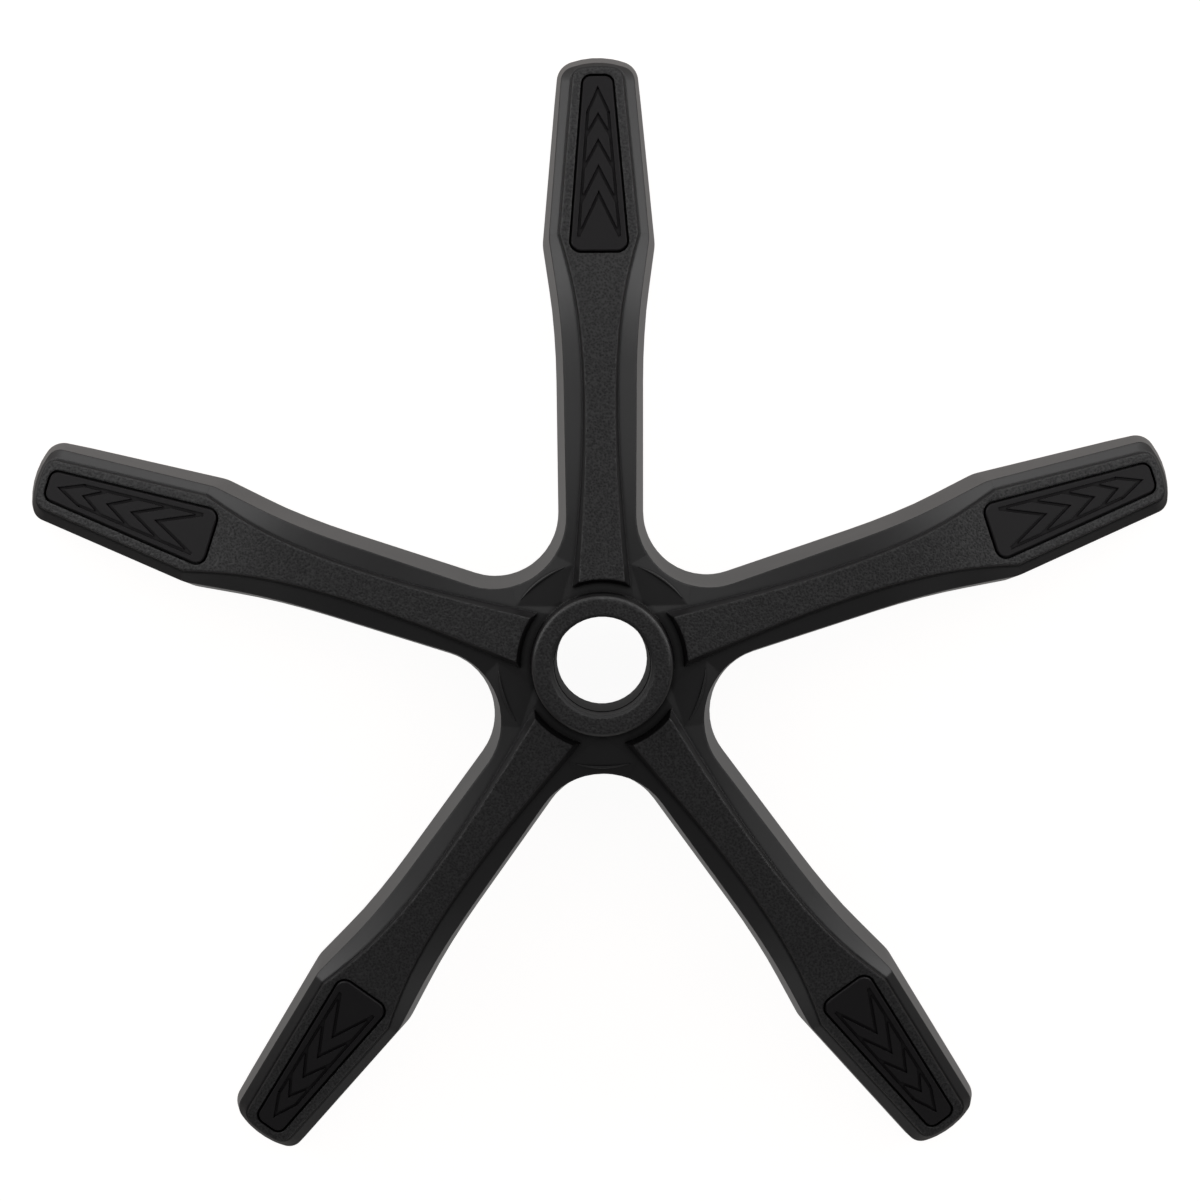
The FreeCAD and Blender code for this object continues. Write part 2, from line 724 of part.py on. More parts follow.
def dress_edges(body, name, kind, wanted, expressions):
    """A fillet or bevel on the edges of the body's tip that a test picks out."""
    document.recompute()
    base = body.Tip
    picked = ["Edge%d" % number for number, edge in enumerate(base.Shape.Edges, start=1) if wanted(edge)]
    dressing = body.newObject(kind, name)
    dressing.Base = (base, picked)
    for target, expression in expressions.items():
        dressing.setExpression(target, expression)


def pad_half_width(along):
    """Half the pad's width at a distance from its inner end."""
    return PAD_INNER_HALF_WIDTH + (PAD_OUTER_HALF_WIDTH - PAD_INNER_HALF_WIDTH) * along / pad_length()


def mirrored(point):
    """The point on the other side of the pad's middle line."""
    return FreeCAD.Vector(point.x, -point.y, point.z)


def chevron_lines():
    """Centre lines of the grooves in the pad's top: the chevrons, then the two lines at their feet."""
    first_tip = pad_length() - size("chevron_tip_margin")
    pitch = (first_tip - size("chevron_last_margin")) / (len(CHEVRON_FEET) - 1)
    shoulder_place = pad_length() - size("chevron_shoulder_margin")
    foot_place = size("chevron_foot_margin")
    shoulder = FreeCAD.Vector(shoulder_place, pad_half_width(shoulder_place) - size("chevron_border"), 0)
    foot = FreeCAD.Vector(foot_place, pad_half_width(foot_place) - size("chevron_border"), 0)
    chevrons = []
    for index, share in enumerate(CHEVRON_FEET):
        tip = FreeCAD.Vector(first_tip - index * pitch, 0, 0)
        end = shoulder + (foot - shoulder) * share
        chevrons.append([end, tip, mirrored(end)])
    sides = [[shoulder, foot], [mirrored(shoulder), mirrored(foot)]]
    return chevrons, sides


def groove_outline(line, width):
    """Closed outline of a groove of even width along a line of points, mitred at its bends."""
    left = []
    right = []
    for index, point in enumerate(line):
        arriving = point - line[index - 1] if index > 0 else line[1] - line[0]
        leaving = line[index + 1] - point if index + 1 < len(line) else arriving
        before = FreeCAD.Vector(-arriving.y, arriving.x, 0).normalize()
        after = FreeCAD.Vector(-leaving.y, leaving.x, 0).normalize()
        offset = (before + after) * (width / 2.0 / (1.0 + before.dot(after)))
        left.append(point + offset)
        right.append(point - offset)
    return left + list(reversed(right))


def add_grooves(body, name, lines):
    """Grooves sunk into the pad's top along the given lines."""
    sketch = new_sketch(body, name + "_sketch", "sizes.pad_proud")
    for line in lines:
        add_polygon(sketch, groove_outline(line, size("groove_width")))
    pocket = body.newObject("PartDesign::Pocket", name)
    pocket.Profile = sketch
    pocket.setExpression("Length", "sizes.groove_depth")


def add_clips(body, name):
    """Clips on the pad's underside that pass through the arm's skin."""
    sketch = new_sketch(body, name + "_sketch", "-sizes.pad_seat_depth")
    half_long = FreeCAD.Vector(size("clip_length") / 2.0, 0, 0)
    half_thick = FreeCAD.Vector(0, size("clip_thickness") / 2.0, 0)
    for place in clip_places():
        add_polygon(sketch, [
            place - half_long - half_thick,
            place + half_long - half_thick,
            place + half_long + half_thick,
            place - half_long + half_thick,
        ])
    clips = body.newObject("PartDesign::Pad", name)
    clips.Profile = sketch
    clips.Reversed = True
    clips.setExpression("Length", "sizes.clip_reach")


def make_foot_pad(index):
    """A foot pad in its own frame, X down the slope from its inner end, Z out of the arm."""
    name = "foot_pad_%d" % (index + 1)
    body = document.addObject("PartDesign::Body", name)
    outline = new_sketch(body, name + "_outline", "-sizes.pad_seat_depth")
    add_polygon(outline, pad_corners())
    outline.addConstraint(Sketcher.Constraint("Symmetric", 0, 1, 3, 1, -1))
    outline.addConstraint(Sketcher.Constraint("Symmetric", 1, 1, 2, 1, -1))
    outline.addConstraint(Sketcher.Constraint("PointOnObject", 3, 1, -2))
    end = "sizes.arm_reach - sizes.plateau_end_margin - sizes.pad_end_margin"
    start = "sizes.knuckle_radius - sizes.pad_start_offset"
    for kind, line, value, expression in (
        ("DistanceX", 2, pad_length(), "(%s - (%s)) / cos(sizes.pad_slope)" % (end, start)),
        ("DistanceY", 2, PAD_OUTER_HALF_WIDTH, "sizes.plateau_end_half_width - sizes.pad_border"),
        ("DistanceY", 3, PAD_INNER_HALF_WIDTH, "sizes.plateau_start_half_width - sizes.pad_border"),
    ):
        number = outline.addConstraint(Sketcher.Constraint(kind, -1, 1, line, 1, value))
        outline.setExpression("Constraints[%d]" % number, expression)
    slab = body.newObject("PartDesign::Pad", name + "_slab")
    slab.Profile = outline
    slab.setExpression("Length", "sizes.pad_seat_depth + sizes.pad_proud")
    middle = pad_length() / 2.0

    def inner_corner(edge):
        return edge.BoundBox.ZLength > size("pad_proud") and edge.CenterOfMass.x < middle

    def outer_corner(edge):
        straight = edge.Curve.TypeId == "Part::GeomLine"
        return edge.BoundBox.ZLength > size("pad_proud") and straight and edge.CenterOfMass.x > middle

    def top_edge(edge):
        return edge.BoundBox.ZMin > size("pad_proud") / 2.0

    fillet = "PartDesign::Fillet"
    dress_edges(body, name + "_inner_corners", fillet, inner_corner, {"Radius": "sizes.pad_inner_round"})
    dress_edges(body, name + "_outer_corners", fillet, outer_corner, {"Radius": "sizes.pad_outer_round"})
    dress_edges(body, name + "_rim", "PartDesign::Chamfer", top_edge, {"Size": "sizes.pad_rim_bevel"})
    chevrons, sides = chevron_lines()
    add_grooves(body, name + "_chevrons", chevrons)
    add_grooves(body, name + "_sides", sides)
    add_clips(body, name + "_clips")
    body.Placement = arm_placement(index).multiply(slope_frame(PAD_START))
    return body


sub_parts = [make_star_base()]
for arm_index in range(ARMS):
    sub_parts.append(make_foot_pad(arm_index))
document.recompute()
fail_if_broken()

os.makedirs("parts", exist_ok=True)
for part in sub_parts:
    shape = part.Shape
    if shape.isNull() or not shape.isValid():
        raise RuntimeError("no valid shape: " + part.Label)
    shape.exportStep("parts/%s.step" % part.Label)
    print(part.Label, len(shape.Solids), "solid", len(shape.Faces), "faces", round(shape.Volume), "mm3")
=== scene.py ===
# %% [markdown]
# # A black nylon star base for an office chair
# This lesson dresses a finished CAD part for its portrait. The part is a star of five hollow arms,
# moulded in one shot, with a grooved pad set into the end of each arm. The CAD solids already have the
# right shape, so nothing here moves or reshapes them. What a solid lacks is a surface: the leather
# grain of the mould, the soft edges of a real moulding, the satin of a pad, and a studio to see them
# in. The first cell loads the part.

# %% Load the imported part
import math

import bmesh
import bpy
from mathutils import Euler, Matrix, Vector


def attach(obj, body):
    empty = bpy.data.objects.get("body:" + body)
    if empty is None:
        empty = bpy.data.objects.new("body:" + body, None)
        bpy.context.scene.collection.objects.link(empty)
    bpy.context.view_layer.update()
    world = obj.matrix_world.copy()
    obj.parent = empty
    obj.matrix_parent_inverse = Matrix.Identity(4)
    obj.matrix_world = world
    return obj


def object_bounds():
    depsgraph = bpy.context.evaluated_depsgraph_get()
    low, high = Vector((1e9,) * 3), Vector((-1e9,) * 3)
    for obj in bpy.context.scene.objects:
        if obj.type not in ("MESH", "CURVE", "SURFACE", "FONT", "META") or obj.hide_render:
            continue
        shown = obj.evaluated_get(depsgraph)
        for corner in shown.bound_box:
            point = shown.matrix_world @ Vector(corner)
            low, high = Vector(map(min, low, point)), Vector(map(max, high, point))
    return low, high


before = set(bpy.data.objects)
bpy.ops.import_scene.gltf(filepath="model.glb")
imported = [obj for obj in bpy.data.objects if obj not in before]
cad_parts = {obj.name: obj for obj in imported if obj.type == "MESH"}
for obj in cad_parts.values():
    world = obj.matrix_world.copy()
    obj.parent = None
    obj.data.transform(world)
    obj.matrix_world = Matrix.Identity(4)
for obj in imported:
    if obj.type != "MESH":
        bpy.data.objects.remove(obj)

cad_box = [list(corner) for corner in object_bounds()]
scene = bpy.context.scene
print("nodes:", sorted(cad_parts))
print("box of the solids in metres:", cad_box)

# %% [markdown]
# ## The camera
# The picture was taken from straight above, a little towards the far arm, with a moderate telephoto
# lens. A camera could be aimed at the hub with a constraint, but its place and turn are known, so they
# are written down as numbers. The lens follows from the picture's width and the focal length, both in
# pixels.

# %% Place the camera over the hub
PICTURE_WIDTH = 1200
FOCAL_PIXELS = 2561.0
SENSOR_WIDTH_MM = 36.0
CAMERA_PLACE = Vector((-0.006, 0.094, 1.3015))
CAMERA_TURN_DEG = (-2.66, -0.24, -0.41)

camera_data = bpy.data.cameras.new("camera")
camera_data.sensor_fit = "HORIZONTAL"
camera_data.sensor_width = SENSOR_WIDTH_MM
camera_data.lens = SENSOR_WIDTH_MM * FOCAL_PIXELS / PICTURE_WIDTH
camera = bpy.data.objects.new("camera", camera_data)
scene.collection.objects.link(camera)
turn = Euler([math.radians(angle) for angle in CAMERA_TURN_DEG], "XYZ")
camera.matrix_world = Matrix.Translation(CAMERA_PLACE) @ turn.to_matrix().to_4x4()
scene.camera = camera
scene.view_settings.view_transform = "Standard"
print("lens in millimetres:", round(camera_data.lens, 2))

# %% [markdown]
# ## Two small helpers
# Colours are easiest to read as the hex codes that a paint program shows. A shader works with linear
# light, so one function turns a hex code into linear values. A second one adds any shader node, sets
# its options, and fills each of its inputs with a value or with a link, so a whole material reads like
# a recipe.


# %% Colours and nodes
def linear(code):
    """Linear RGBA of an sRGB hex code such as #1c1c1e."""
    shares = [int(code[place:place + 2], 16) / 255.0 for place in (1, 3, 5)]
    straight = [
        share / 12.92 if share <= 0.04045 else ((share + 0.055) / 1.055) ** 2.4
        for share in shares
    ]
    return (*straight, 1.0)


def add(tree, kind, inputs=None, **settings):
    """A new node with its settings, and its inputs set to values or linked to sockets."""
    node = tree.nodes.new(kind)
    for name, value in settings.items():
        setattr(node, name, value)
    for name, value in (inputs or {}).items():
        if isinstance(value, bpy.types.NodeSocket):
            tree.links.new(value, node.inputs[name])
        else:
            node.inputs[name].default_value = value
    return node


print("a white of 1.0 from hex:", linear("#ffffff")[0])

# %% [markdown]
# ## The white table
# The part lies on its castor bosses on a white table. A plain white diffuse plane would come out grey
# wherever the light falls off, so the table also glows a little, for the camera and, dimmed, for
# reflections. Where the part shades it, the diffuse share drops out and a faint shadow stays. A hair's
# gap keeps the feet and the table out of one plane, where a renderer can't tell which is in front.

# %% Make the table
MM = 0.001
FLOOR_GAP_MM = 0.2
FLOOR_LEVEL = cad_box[0][2] - FLOOR_GAP_MM * MM
FLOOR_HALF_SIZE = 8.0
FLOOR_GLOW = 0.94
REFLECTED_SHARE = 0.36
FLOOR_TONE = "#7a706a"

floor_mesh = bpy.data.meshes.new("floor")
sides = ((-1, -1), (1, -1), (1, 1), (-1, 1))
floor_corners = [(x * FLOOR_HALF_SIZE, y * FLOOR_HALF_SIZE, FLOOR_LEVEL) for x, y in sides]
floor_mesh.from_pydata(floor_corners, [], [(0, 1, 2, 3)])
floor = bpy.data.objects.new("floor", floor_mesh)
scene.collection.objects.link(floor)

table_white = bpy.data.materials.new("table_white")
table_white.use_nodes = True
tree = table_white.node_tree
tree.nodes.clear()
rays = add(tree, "ShaderNodeLightPath").outputs
mirrored = add(tree, "ShaderNodeMath", {0: rays["Is Glossy Ray"], 1: rays["Is Transmission Ray"]},
               operation="MAXIMUM").outputs[0]
seen = add(tree, "ShaderNodeMath", {0: mirrored, 1: REFLECTED_SHARE, 2: rays["Is Camera Ray"]},
           operation="MULTIPLY_ADD").outputs[0]
glow = add(tree, "ShaderNodeMath", {0: seen, 1: FLOOR_GLOW}, operation="MULTIPLY").outputs[0]
shine = add(tree, "ShaderNodeEmission", {"Color": linear("#ffffff"), "Strength": glow}).outputs[0]
matt = add(tree, "ShaderNodeBsdfDiffuse", {"Color": linear(FLOOR_TONE)}).outputs[0]
both = add(tree, "ShaderNodeAddShader", {0: shine, 1: matt}).outputs[0]
# From below the table is clear, so that the underside of the part can be looked at
behind = add(tree, "ShaderNodeNewGeometry").outputs["Backfacing"]
see_through = add(tree, "ShaderNodeBsdfTransparent").outputs[0]
one_sided = add(tree, "ShaderNodeMixShader", {0: behind, 1: both, 2: see_through}).outputs[0]
add(tree, "ShaderNodeOutputMaterial", {"Surface": one_sided})
floor_mesh.materials.append(table_white)
print("floor level in millimetres:", round(FLOOR_LEVEL / MM, 2))

# %% [markdown]
# ## The room
# A light tent's walls are white to the camera, but here they lend the part only a little light: the
# lamps below give the rest. The Light Path node tells the two uses apart.

# %% Make the room
ROOM_LIGHT = 0.13

world = bpy.data.worlds.new("light_tent")
world.use_nodes = True
scene.world = world
tree = world.node_tree
tree.nodes.clear()
rays = add(tree, "ShaderNodeLightPath").outputs
strength = add(tree, "ShaderNodeMath", {0: rays["Is Camera Ray"], 1: ROOM_LIGHT},
               operation="MAXIMUM").outputs[0]
sky = add(tree, "ShaderNodeBackground", {"Color": linear("#ffffff"), "Strength": strength}).outputs[0]
add(tree, "ShaderNodeOutputWorld", {"Surface": sky})
print("light from the room:", ROOM_LIGHT, "of white")

# %% [markdown]
# ## A ring of softboxes
# Black plastic shows little colour of its own: the eye reads it by what it mirrors. A face that leans
# by some angle mirrors the room at twice that angle from straight up, so low panels light the steep
# facets, panels at half height light the gentle shoulders, and the one overhead lights the spines. The
# far side is the brightest and the near side is dim, which is why the near arms look darker. Point
# lamps would leave hard dots, so area lamps are used, and each is placed by its compass direction and
# its height in degrees.

# %% Hang the lamps
SOFTBOX_DISTANCE = 2.0
LOW_PANEL = (2.0, 0.8)
NEAR_PANEL = (2.4, 0.8)
HIGH_PANEL = (1.4, 1.0)
OVERHEAD_PANEL = (1.2, 0.6)
# Each lamp: its compass and its height in degrees, its panel in metres, and its watts
SOFTBOXES = {
    "softbox_far": (90.0, 17.0, LOW_PANEL, 12.0),
    "softbox_far_left": (145.0, 17.0, LOW_PANEL, 16.0),
    "softbox_far_right": (35.0, 17.0, LOW_PANEL, 16.0),
    "softbox_near": (270.0, 20.0, NEAR_PANEL, 4.5),
    "softbox_high_left": (145.0, 48.0, HIGH_PANEL, 4.0),
    "softbox_high_right": (35.0, 48.0, HIGH_PANEL, 4.0),
    "softbox_near_left": (200.0, 48.0, HIGH_PANEL, 1.0),
    "softbox_near_right": (-20.0, 48.0, HIGH_PANEL, 1.0),
    "softbox_overhead": (90.0, 72.0, OVERHEAD_PANEL, 2.0),
}

for name, (compass, height_angle, panel, watts) in SOFTBOXES.items():
    lamp = bpy.data.lights.new(name, "AREA")
    lamp.shape = "RECTANGLE"
    lamp.size, lamp.size_y = panel
    lamp.energy = watts
    softbox = bpy.data.objects.new(name, lamp)
    tilt = Euler((0.0, -math.radians(height_angle), math.radians(compass)), "XYZ")
    direction = tilt.to_matrix() @ Vector((1.0, 0.0, 0.0))
    softbox.location = direction * SOFTBOX_DISTANCE
    softbox.rotation_euler = (-direction).to_track_quat("-Z", "Y").to_euler()
    softbox.visible_camera = False
    scene.collection.objects.link(softbox)
    print(name, "at", [round(value, 2) for value in softbox.location], "with", watts, "W")

# %% [markdown]
# ## Where the leather grain is
# The star's mould was etched to a leather grain on the faces that people see and touch: the spines, the
# plateaus at the arm ends and the hub's collar. The shoulders, the deck and the walls were only stoned
# smooth. Painting a mask by hand would work on one mesh only, so the mask is worked out from the shape:
# a grained face lies nearly level, and no deeper than the line of the spine, which falls in two slopes
# that meet at the knee.

# %% Find the grained faces
GRAIN_STARTS_AT_DEG = 24.0
GRAIN_FULL_AT_DEG = 20.0
KNEE_RADIUS_MM = 187.5
KNEE_LEVEL_MM = -18.8
SPINE_SLOPE_DEG = 4.5
PLATEAU_SLOPE_DEG = 15.0
SPINE_TOLERANCE_MM = 1.8


def grain_mask(tree, place, radius):
    """1 on the faces that carry the leather grain, and 0 elsewhere."""
    facing = add(tree, "ShaderNodeNewGeometry").outputs["Normal"]
    upward = add(tree, "ShaderNodeSeparateXYZ", {0: facing}).outputs["Z"]
    level = add(tree, "ShaderNodeMapRange", {
        "Value": upward,
        "From Min": math.cos(math.radians(GRAIN_STARTS_AT_DEG)),
        "From Max": math.cos(math.radians(GRAIN_FULL_AT_DEG)),
    }).outputs[0]
    past_knee = add(tree, "ShaderNodeMath", {0: radius, 1: KNEE_RADIUS_MM * MM},
                    operation="SUBTRACT").outputs[0]
    lines = []
    for slope in (SPINE_SLOPE_DEG, PLATEAU_SLOPE_DEG):
        lines.append(add(tree, "ShaderNodeMath", {
            0: past_knee,
            1: -math.tan(math.radians(slope)),
            2: (KNEE_LEVEL_MM - SPINE_TOLERANCE_MM) * MM,
        }, operation="MULTIPLY_ADD").outputs[0])
    spine_line = add(tree, "ShaderNodeMath", {0: lines[0], 1: lines[1]}, operation="MINIMUM").outputs[0]
    height = add(tree, "ShaderNodeSeparateXYZ", {0: place}).outputs["Z"]
    on_spine = add(tree, "ShaderNodeMath", {0: height, 1: spine_line},
                   operation="GREATER_THAN").outputs[0]
    return add(tree, "ShaderNodeMath", {0: level, 1: on_spine}, operation="MULTIPLY").outputs[0]


print("the spine falls", SPINE_SLOPE_DEG, "degrees to the knee and", PLATEAU_SLOPE_DEG, "past it")

# %% [markdown]
# ## Painted shade in crevices
# The foot of each step, the gap round a pad and the grooves in it lie in shade and show as fine black
# lines. That shade is painted: the colour and the gloss are darkened there. It could be painted by hand,
# but the Ambient Occlusion node measures how open each spot is, and follows any change of shape.

# %% Measure how open a spot is
CREVICE_POWER = 1.6
PROBE_RAYS = 4


def painted_shade_share(tree, reach_mm):
    """Painted-shade share, from 0 deep in a crevice to 1 on a free face, looking as far as the reach."""
    share = add(tree, "ShaderNodeAmbientOcclusion", {"Distance": reach_mm * MM},
                samples=PROBE_RAYS).outputs["AO"]
    return add(tree, "ShaderNodeMath", {0: share, 1: CREVICE_POWER}, operation="POWER").outputs[0]


print("crevices darken with the power", CREVICE_POWER)

# %% [markdown]
# ## The skin that the mould leaves
# Where the star's mould was etched, rounded cells with fine pits between them scatter the light. Where
# it was stoned, only a faint grit is left. Modelled cells would cost millions of faces, and they are too
# fine to show in an outline, so both are bumps. A Bevel node rounds the sharp CAD edges for the eye, as
# the mould's own edges are rounded.

# %% Shape the grain and the satin
# A real leather grain has cells of about 0.8 mm: they are drawn coarser so that they show in the picture
GRAIN_CELL_MM = 1.1
GRAIN_PIT_MM = 0.6
GRAIN_PIT_SHARE = 0.6
GRAIN_DEPTH_MM = 0.15
SATIN_GRIT_MM = 0.6
SATIN_DEPTH_MM = 0.006


def leather_height(tree, place):
    """Height of the leather grain: rounded cells with fine pits between them."""
    cells = add(tree, "ShaderNodeTexVoronoi", {"Vector": place, "Scale": 1.0 / (GRAIN_CELL_MM * MM)},
                feature="SMOOTH_F1").outputs["Distance"]
    pits = add(tree, "ShaderNodeTexNoise", {
        "Vector": place, "Scale": 1.0 / (GRAIN_PIT_MM * MM), "Detail": 2.0,
    }).outputs["Fac"]
    return add(tree, "ShaderNodeMath", {0: pits, 1: GRAIN_PIT_SHARE, 2: cells},
               operation="MULTIPLY_ADD").outputs[0]


def moulded_skin(tree, place, leather, grained, edge_round_mm):
    """Which way the skin faces: softened edges, a faint grit, and the leather where the mask is 1."""
    soft_edge = add(tree, "ShaderNodeBevel", {"Radius": edge_round_mm * MM}, samples=PROBE_RAYS).outputs[0]
    grit = add(tree, "ShaderNodeTexNoise", {
        "Vector": place, "Scale": 1.0 / (SATIN_GRIT_MM * MM), "Detail": 1.0,
    }).outputs["Fac"]
    satin = add(tree, "ShaderNodeBump", {
        "Height": grit, "Distance": SATIN_DEPTH_MM * MM, "Strength": 1.0, "Normal": soft_edge,
    }).outputs[0]
    return add(tree, "ShaderNodeBump", {
        "Height": leather, "Distance": GRAIN_DEPTH_MM * MM, "Strength": grained, "Normal": satin,
    }).outputs[0]


print("grain cells of", GRAIN_CELL_MM, "mm,", GRAIN_DEPTH_MM, "mm deep")

# %% [markdown]
# ## How the nylon shines
# The etched faces are a little rougher than the stoned ones, and the bore, which the column hides, was
# left rougher still. The gloss is a share of the full mirror, with painted shade in it: it is lowered
# in the hollows of the grain and put out in crevices. One flat value would make the star look like vinyl.

# %% Set the roughness and the gloss
SATIN_ROUGHNESS = (0.32, 0.38)
GRAIN_EXTRA_ROUGHNESS = 0.10
BORE_EXTRA_ROUGHNESS = 0.30
BORE_RADIUS_MM = 26.5
SATIN_GLOSS = 0.5
GRAIN_SPAN = (0.35, 0.95)
GRAIN_GLOSS = (0.24, 0.66)


def nylon_roughness(tree, flow, grained, radius):
    """Roughness that follows the flow marks, higher on the grain and in the bore."""
    satin = add(tree, "ShaderNodeMapRange", {
        "Value": flow, "To Min": SATIN_ROUGHNESS[0], "To Max": SATIN_ROUGHNESS[1],
    }).outputs[0]
    with_grain = add(tree, "ShaderNodeMath", {0: grained, 1: GRAIN_EXTRA_ROUGHNESS, 2: satin},
                     operation="MULTIPLY_ADD").outputs[0]
    in_bore = add(tree, "ShaderNodeMath", {0: radius, 1: BORE_RADIUS_MM * MM},
                  operation="LESS_THAN").outputs[0]
    return add(tree, "ShaderNodeMath", {0: in_bore, 1: BORE_EXTRA_ROUGHNESS, 2: with_grain},
               operation="MULTIPLY_ADD").outputs[0]


def nylon_gloss(tree, leather, grained, clear):
    """Even gloss on the satin; painted shade lowers it in the grain's hollows and puts it out in crevices.
    """
    # Painted shade: the gloss is lowered in the hollows of the grain
    hollows = add(tree, "ShaderNodeMapRange", {
        "Value": leather,
        "From Min": GRAIN_SPAN[0],
        "From Max": GRAIN_SPAN[1],
        "To Min": GRAIN_GLOSS[0],
        "To Max": GRAIN_GLOSS[1],
    }).outputs[0]
    on_face = add(tree, "ShaderNodeMix", {"Factor": grained, "A": SATIN_GLOSS, "B": hollows},
                  data_type="FLOAT").outputs[0]
    # Painted shade: the gloss goes out in crevices
    return add(tree, "ShaderNodeMath", {0: on_face, 1: clear}, operation="MULTIPLY").outputs[0]


print("roughness from", SATIN_ROUGHNESS[0], "to", SATIN_ROUGHNESS[1] + GRAIN_EXTRA_ROUGHNESS)

# %% [markdown]
# ## Glass-filled nylon
# The star is black nylon with short glass fibres in it. Its black isn't even: broad flow marks, left
# where the melt ran along the arms, vary the tone and the gloss a little. The star could have one
# material for each kind of face, but the faces run into one another, so one material uses the mask.

# %% Mix the nylon
NYLON_BLACKS = ("#121112", "#181718")
NYLON_IOR = 1.5
FLOW_MARK_MM = 45.0


def moulded_nylon(name, edge_round_mm, crevice_reach_mm):
    """Black moulded nylon: a leather grain that scatters light, satin slopes and softened edges."""
    material = bpy.data.materials.new(name)
    material.use_nodes = True
    tree = material.node_tree
    tree.nodes.clear()
    place = add(tree, "ShaderNodeTexCoord").outputs["Object"]
    flat_place = add(tree, "ShaderNodeVectorMath", {0: place, 1: (1.0, 1.0, 0.0)},
                     operation="MULTIPLY").outputs[0]
    radius = add(tree, "ShaderNodeVectorMath", {0: flat_place}, operation="LENGTH").outputs["Value"]
    grained = grain_mask(tree, place, radius)
    leather = leather_height(tree, place)
    clear = painted_shade_share(tree, crevice_reach_mm)
    flow = add(tree, "ShaderNodeTexNoise", {
        "Vector": place, "Scale": 1.0 / (FLOW_MARK_MM * MM), "Detail": 3.0,
    }).outputs["Fac"]
    # A Mix node keeps its two colours in inputs 6 and 7, and gives the mixed one from output 2
    blacks = [linear(code) for code in NYLON_BLACKS]
    black = add(tree, "ShaderNodeMix", {"Factor": flow, 6: blacks[0], 7: blacks[1]},
                data_type="RGBA").outputs[2]
    # Painted shade: the black is darkened in crevices, by how open each spot is
    tone = add(tree, "ShaderNodeVectorMath", {0: black, "Scale": clear}, operation="SCALE").outputs[0]
    shader = add(tree, "ShaderNodeBsdfPrincipled", {
        "Base Color": tone,
        "Roughness": nylon_roughness(tree, flow, grained, radius),
        "IOR": NYLON_IOR,
        "Specular IOR Level": nylon_gloss(tree, leather, grained, clear),
        "Normal": moulded_skin(tree, place, leather, grained, edge_round_mm),
    }).outputs[0]
    add(tree, "ShaderNodeOutputMaterial", {"Surface": shader})
    return material


STAR_EDGE_ROUND_MM = 1.5
STAR_CREVICE_REACH_MM = 3.2
nylon = moulded_nylon("moulded_nylon", STAR_EDGE_ROUND_MM, STAR_CREVICE_REACH_MM)
print("nylon nodes:", len(nylon.node_tree.nodes))

# %% [markdown]
# ## Polypropylene pads
# The pads that a foot or a shin rubs on are moulded on their own, in a smoother polypropylene with a
# faint violet cast. Their chevron grooves are real geometry, so the material only needs its satin, its
# fine grit, painted shade that darkens the gloss in the grooves and an edge that catches the light.

# %% Mix the polypropylene
PAD_BLACK = "#121012"
PAD_IOR = 1.49
PAD_GRIT_MM = 0.8
PAD_GRIT_DEPTH_MM = 0.008
PAD_ROUGHNESS = (0.40, 0.50)
PAD_EDGE_ROUND_MM = 0.3
PAD_CREVICE_REACH_MM = 2.5
PAD_GLOSS = 0.27


def moulded_polypropylene():
    """Smooth black polypropylene: an even satin, slightly violet, with softened edges."""
    material = bpy.data.materials.new("moulded_polypropylene")
    material.use_nodes = True
    tree = material.node_tree
    tree.nodes.clear()
    place = add(tree, "ShaderNodeTexCoord").outputs["Object"]
    grit = add(tree, "ShaderNodeTexNoise", {
        "Vector": place, "Scale": 1.0 / (PAD_GRIT_MM * MM), "Detail": 2.0,
    }).outputs["Fac"]
    soft_edge = add(tree, "ShaderNodeBevel", {"Radius": PAD_EDGE_ROUND_MM * MM},
                    samples=PROBE_RAYS).outputs[0]
    bump = add(tree, "ShaderNodeBump", {
        "Height": grit, "Distance": PAD_GRIT_DEPTH_MM * MM, "Strength": 1.0, "Normal": soft_edge,
    }).outputs[0]
    roughness = add(tree, "ShaderNodeMapRange", {
        "Value": grit, "To Min": PAD_ROUGHNESS[0], "To Max": PAD_ROUGHNESS[1],
    }).outputs[0]
    # Painted shade: the gloss goes out in the gap round the pad and in its grooves
    clear = painted_shade_share(tree, PAD_CREVICE_REACH_MM)
    gloss = add(tree, "ShaderNodeMath", {0: clear, 1: PAD_GLOSS}, operation="MULTIPLY").outputs[0]
    shader = add(tree, "ShaderNodeBsdfPrincipled", {
        "Base Color": linear(PAD_BLACK),
        "Roughness": roughness,
        "IOR": PAD_IOR,
        "Specular IOR Level": gloss,
        "Normal": bump,
    }).outputs[0]
    add(tree, "ShaderNodeOutputMaterial", {"Surface": shader})
    return material


polypropylene = moulded_polypropylene()
print("polypropylene nodes:", len(polypropylene.node_tree.nodes))

# %% [markdown]
# ## Dress the solids
# Each solid keeps its own mesh. Only the material in its slots changes, so the CAD model stays exactly
# as it is.

# %% Put the finishes on
for name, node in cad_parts.items():
    finish = polypropylene if name.startswith("foot_pad") else nylon
    if not node.data.materials:
        node.data.materials.append(finish)
    for slot in node.material_slots:
        slot.material = finish
    print(name, "gets", finish.name, "on", len(node.data.polygons), "faces")

# %% [markdown]
# ## The bead on the deck's edge
# Between the arms, a fine rounded bead runs along the edge of the round deck under the collar, and it
# catches the light as a thin arc. It is under two millimetres wide, and the solids don't have it. It
# could be a bump, but a bump has no outline of its own, so each bead is a slim tube, half sunk in the
# deck, that thins out towards the arms. A tube is built ring by ring, and its two ends are closed.

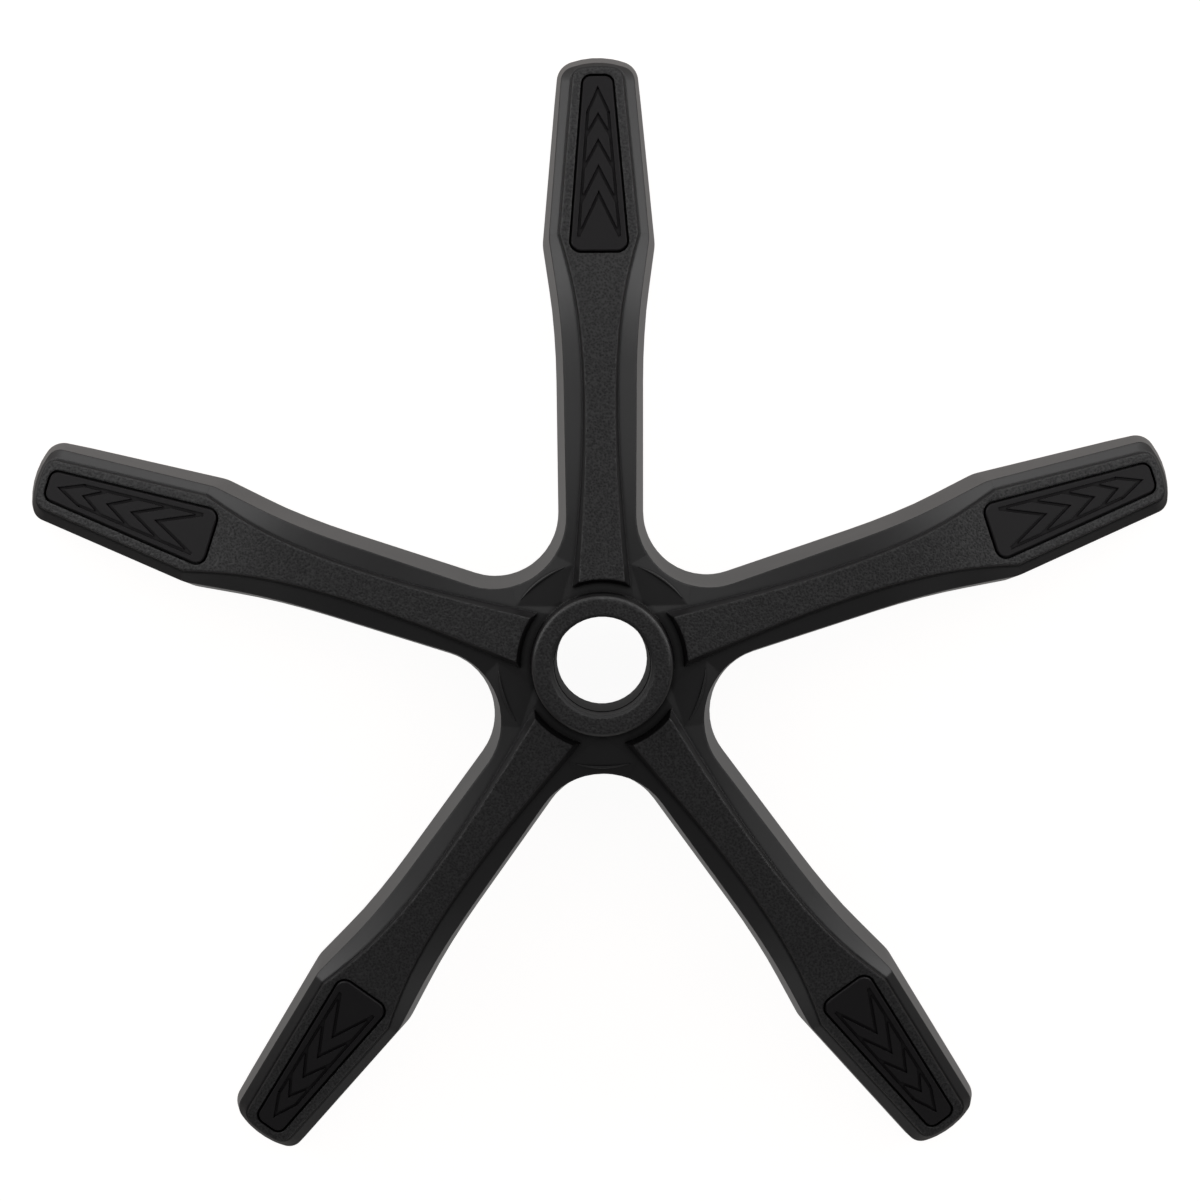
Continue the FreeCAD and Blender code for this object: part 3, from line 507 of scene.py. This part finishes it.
# %% Draw one ring of a bead
DECK_RADIUS_MM = 53.4
DECK_LEVEL_MM = -15.85
BEAD_HALF_WIDTH_MM = 0.9
BEAD_HEIGHT_MM = 0.8
BEAD_REACH_DEG = 15.0
BEAD_STEPS = 24
BEAD_SIDES = 12
BEAD_END_SHARE = 0.25
ARMS = 5
FIRST_VALLEY_DEG = 126.0


def bead_ring(middle_deg, share):
    """One cross-section of a bead, at a share of the way along it."""
    compass = math.radians(middle_deg + (2.0 * share - 1.0) * BEAD_REACH_DEG)
    fullness = BEAD_END_SHARE + (1.0 - BEAD_END_SHARE) * math.sin(math.pi * share)
    ring = []
    for side in range(BEAD_SIDES):
        angle = 2.0 * math.pi * side / BEAD_SIDES
        radius = DECK_RADIUS_MM + BEAD_HALF_WIDTH_MM * fullness * math.cos(angle)
        level = DECK_LEVEL_MM + BEAD_HEIGHT_MM * fullness * math.sin(angle)
        ring.append(Vector((radius * math.cos(compass), radius * math.sin(compass), level)) * MM)
    return ring


print("a bead has", BEAD_STEPS + 1, "rings of", BEAD_SIDES, "points")

# %% Join the rings
bead_shell = bmesh.new()
for arm in range(ARMS):
    middle = FIRST_VALLEY_DEG + arm * 360.0 / ARMS
    rings = []
    for step in range(BEAD_STEPS + 1):
        rings.append([bead_shell.verts.new(point) for point in bead_ring(middle, step / BEAD_STEPS)])
    for back, front in zip(rings, rings[1:]):
        for side in range(BEAD_SIDES):
            following = (side + 1) % BEAD_SIDES
            bead_shell.faces.new((back[side], back[following], front[following], front[side]))
    bead_shell.faces.new(rings[0])
    bead_shell.faces.new(rings[-1])
bmesh.ops.recalc_face_normals(bead_shell, faces=bead_shell.faces)
bead_mesh = bpy.data.meshes.new("deck_bead")
bead_shell.to_mesh(bead_mesh)
bead_shell.free()
bead_mesh.shade_smooth()
print("deck bead faces:", len(bead_mesh.polygons))

# %% [markdown]
# ## The bead's nylon
# The bead is moulded in one with the star, so it has the same nylon. Its edge softening and the reach
# of its painted crevice shade are far smaller than the star's, which are wider than the bead itself.

# %% Set the beads on the deck
BEAD_EDGE_ROUND_MM = 0.1
BEAD_CREVICE_REACH_MM = 0.2
bead_nylon = moulded_nylon("moulded_nylon_bead", BEAD_EDGE_ROUND_MM, BEAD_CREVICE_REACH_MM)
bead_mesh.materials.append(bead_nylon)
deck_bead = bpy.data.objects.new("deck_bead", bead_mesh)
scene.collection.objects.link(deck_bead)
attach(deck_bead, "root")
print("deck bead rides on the root, in", bead_nylon.name)
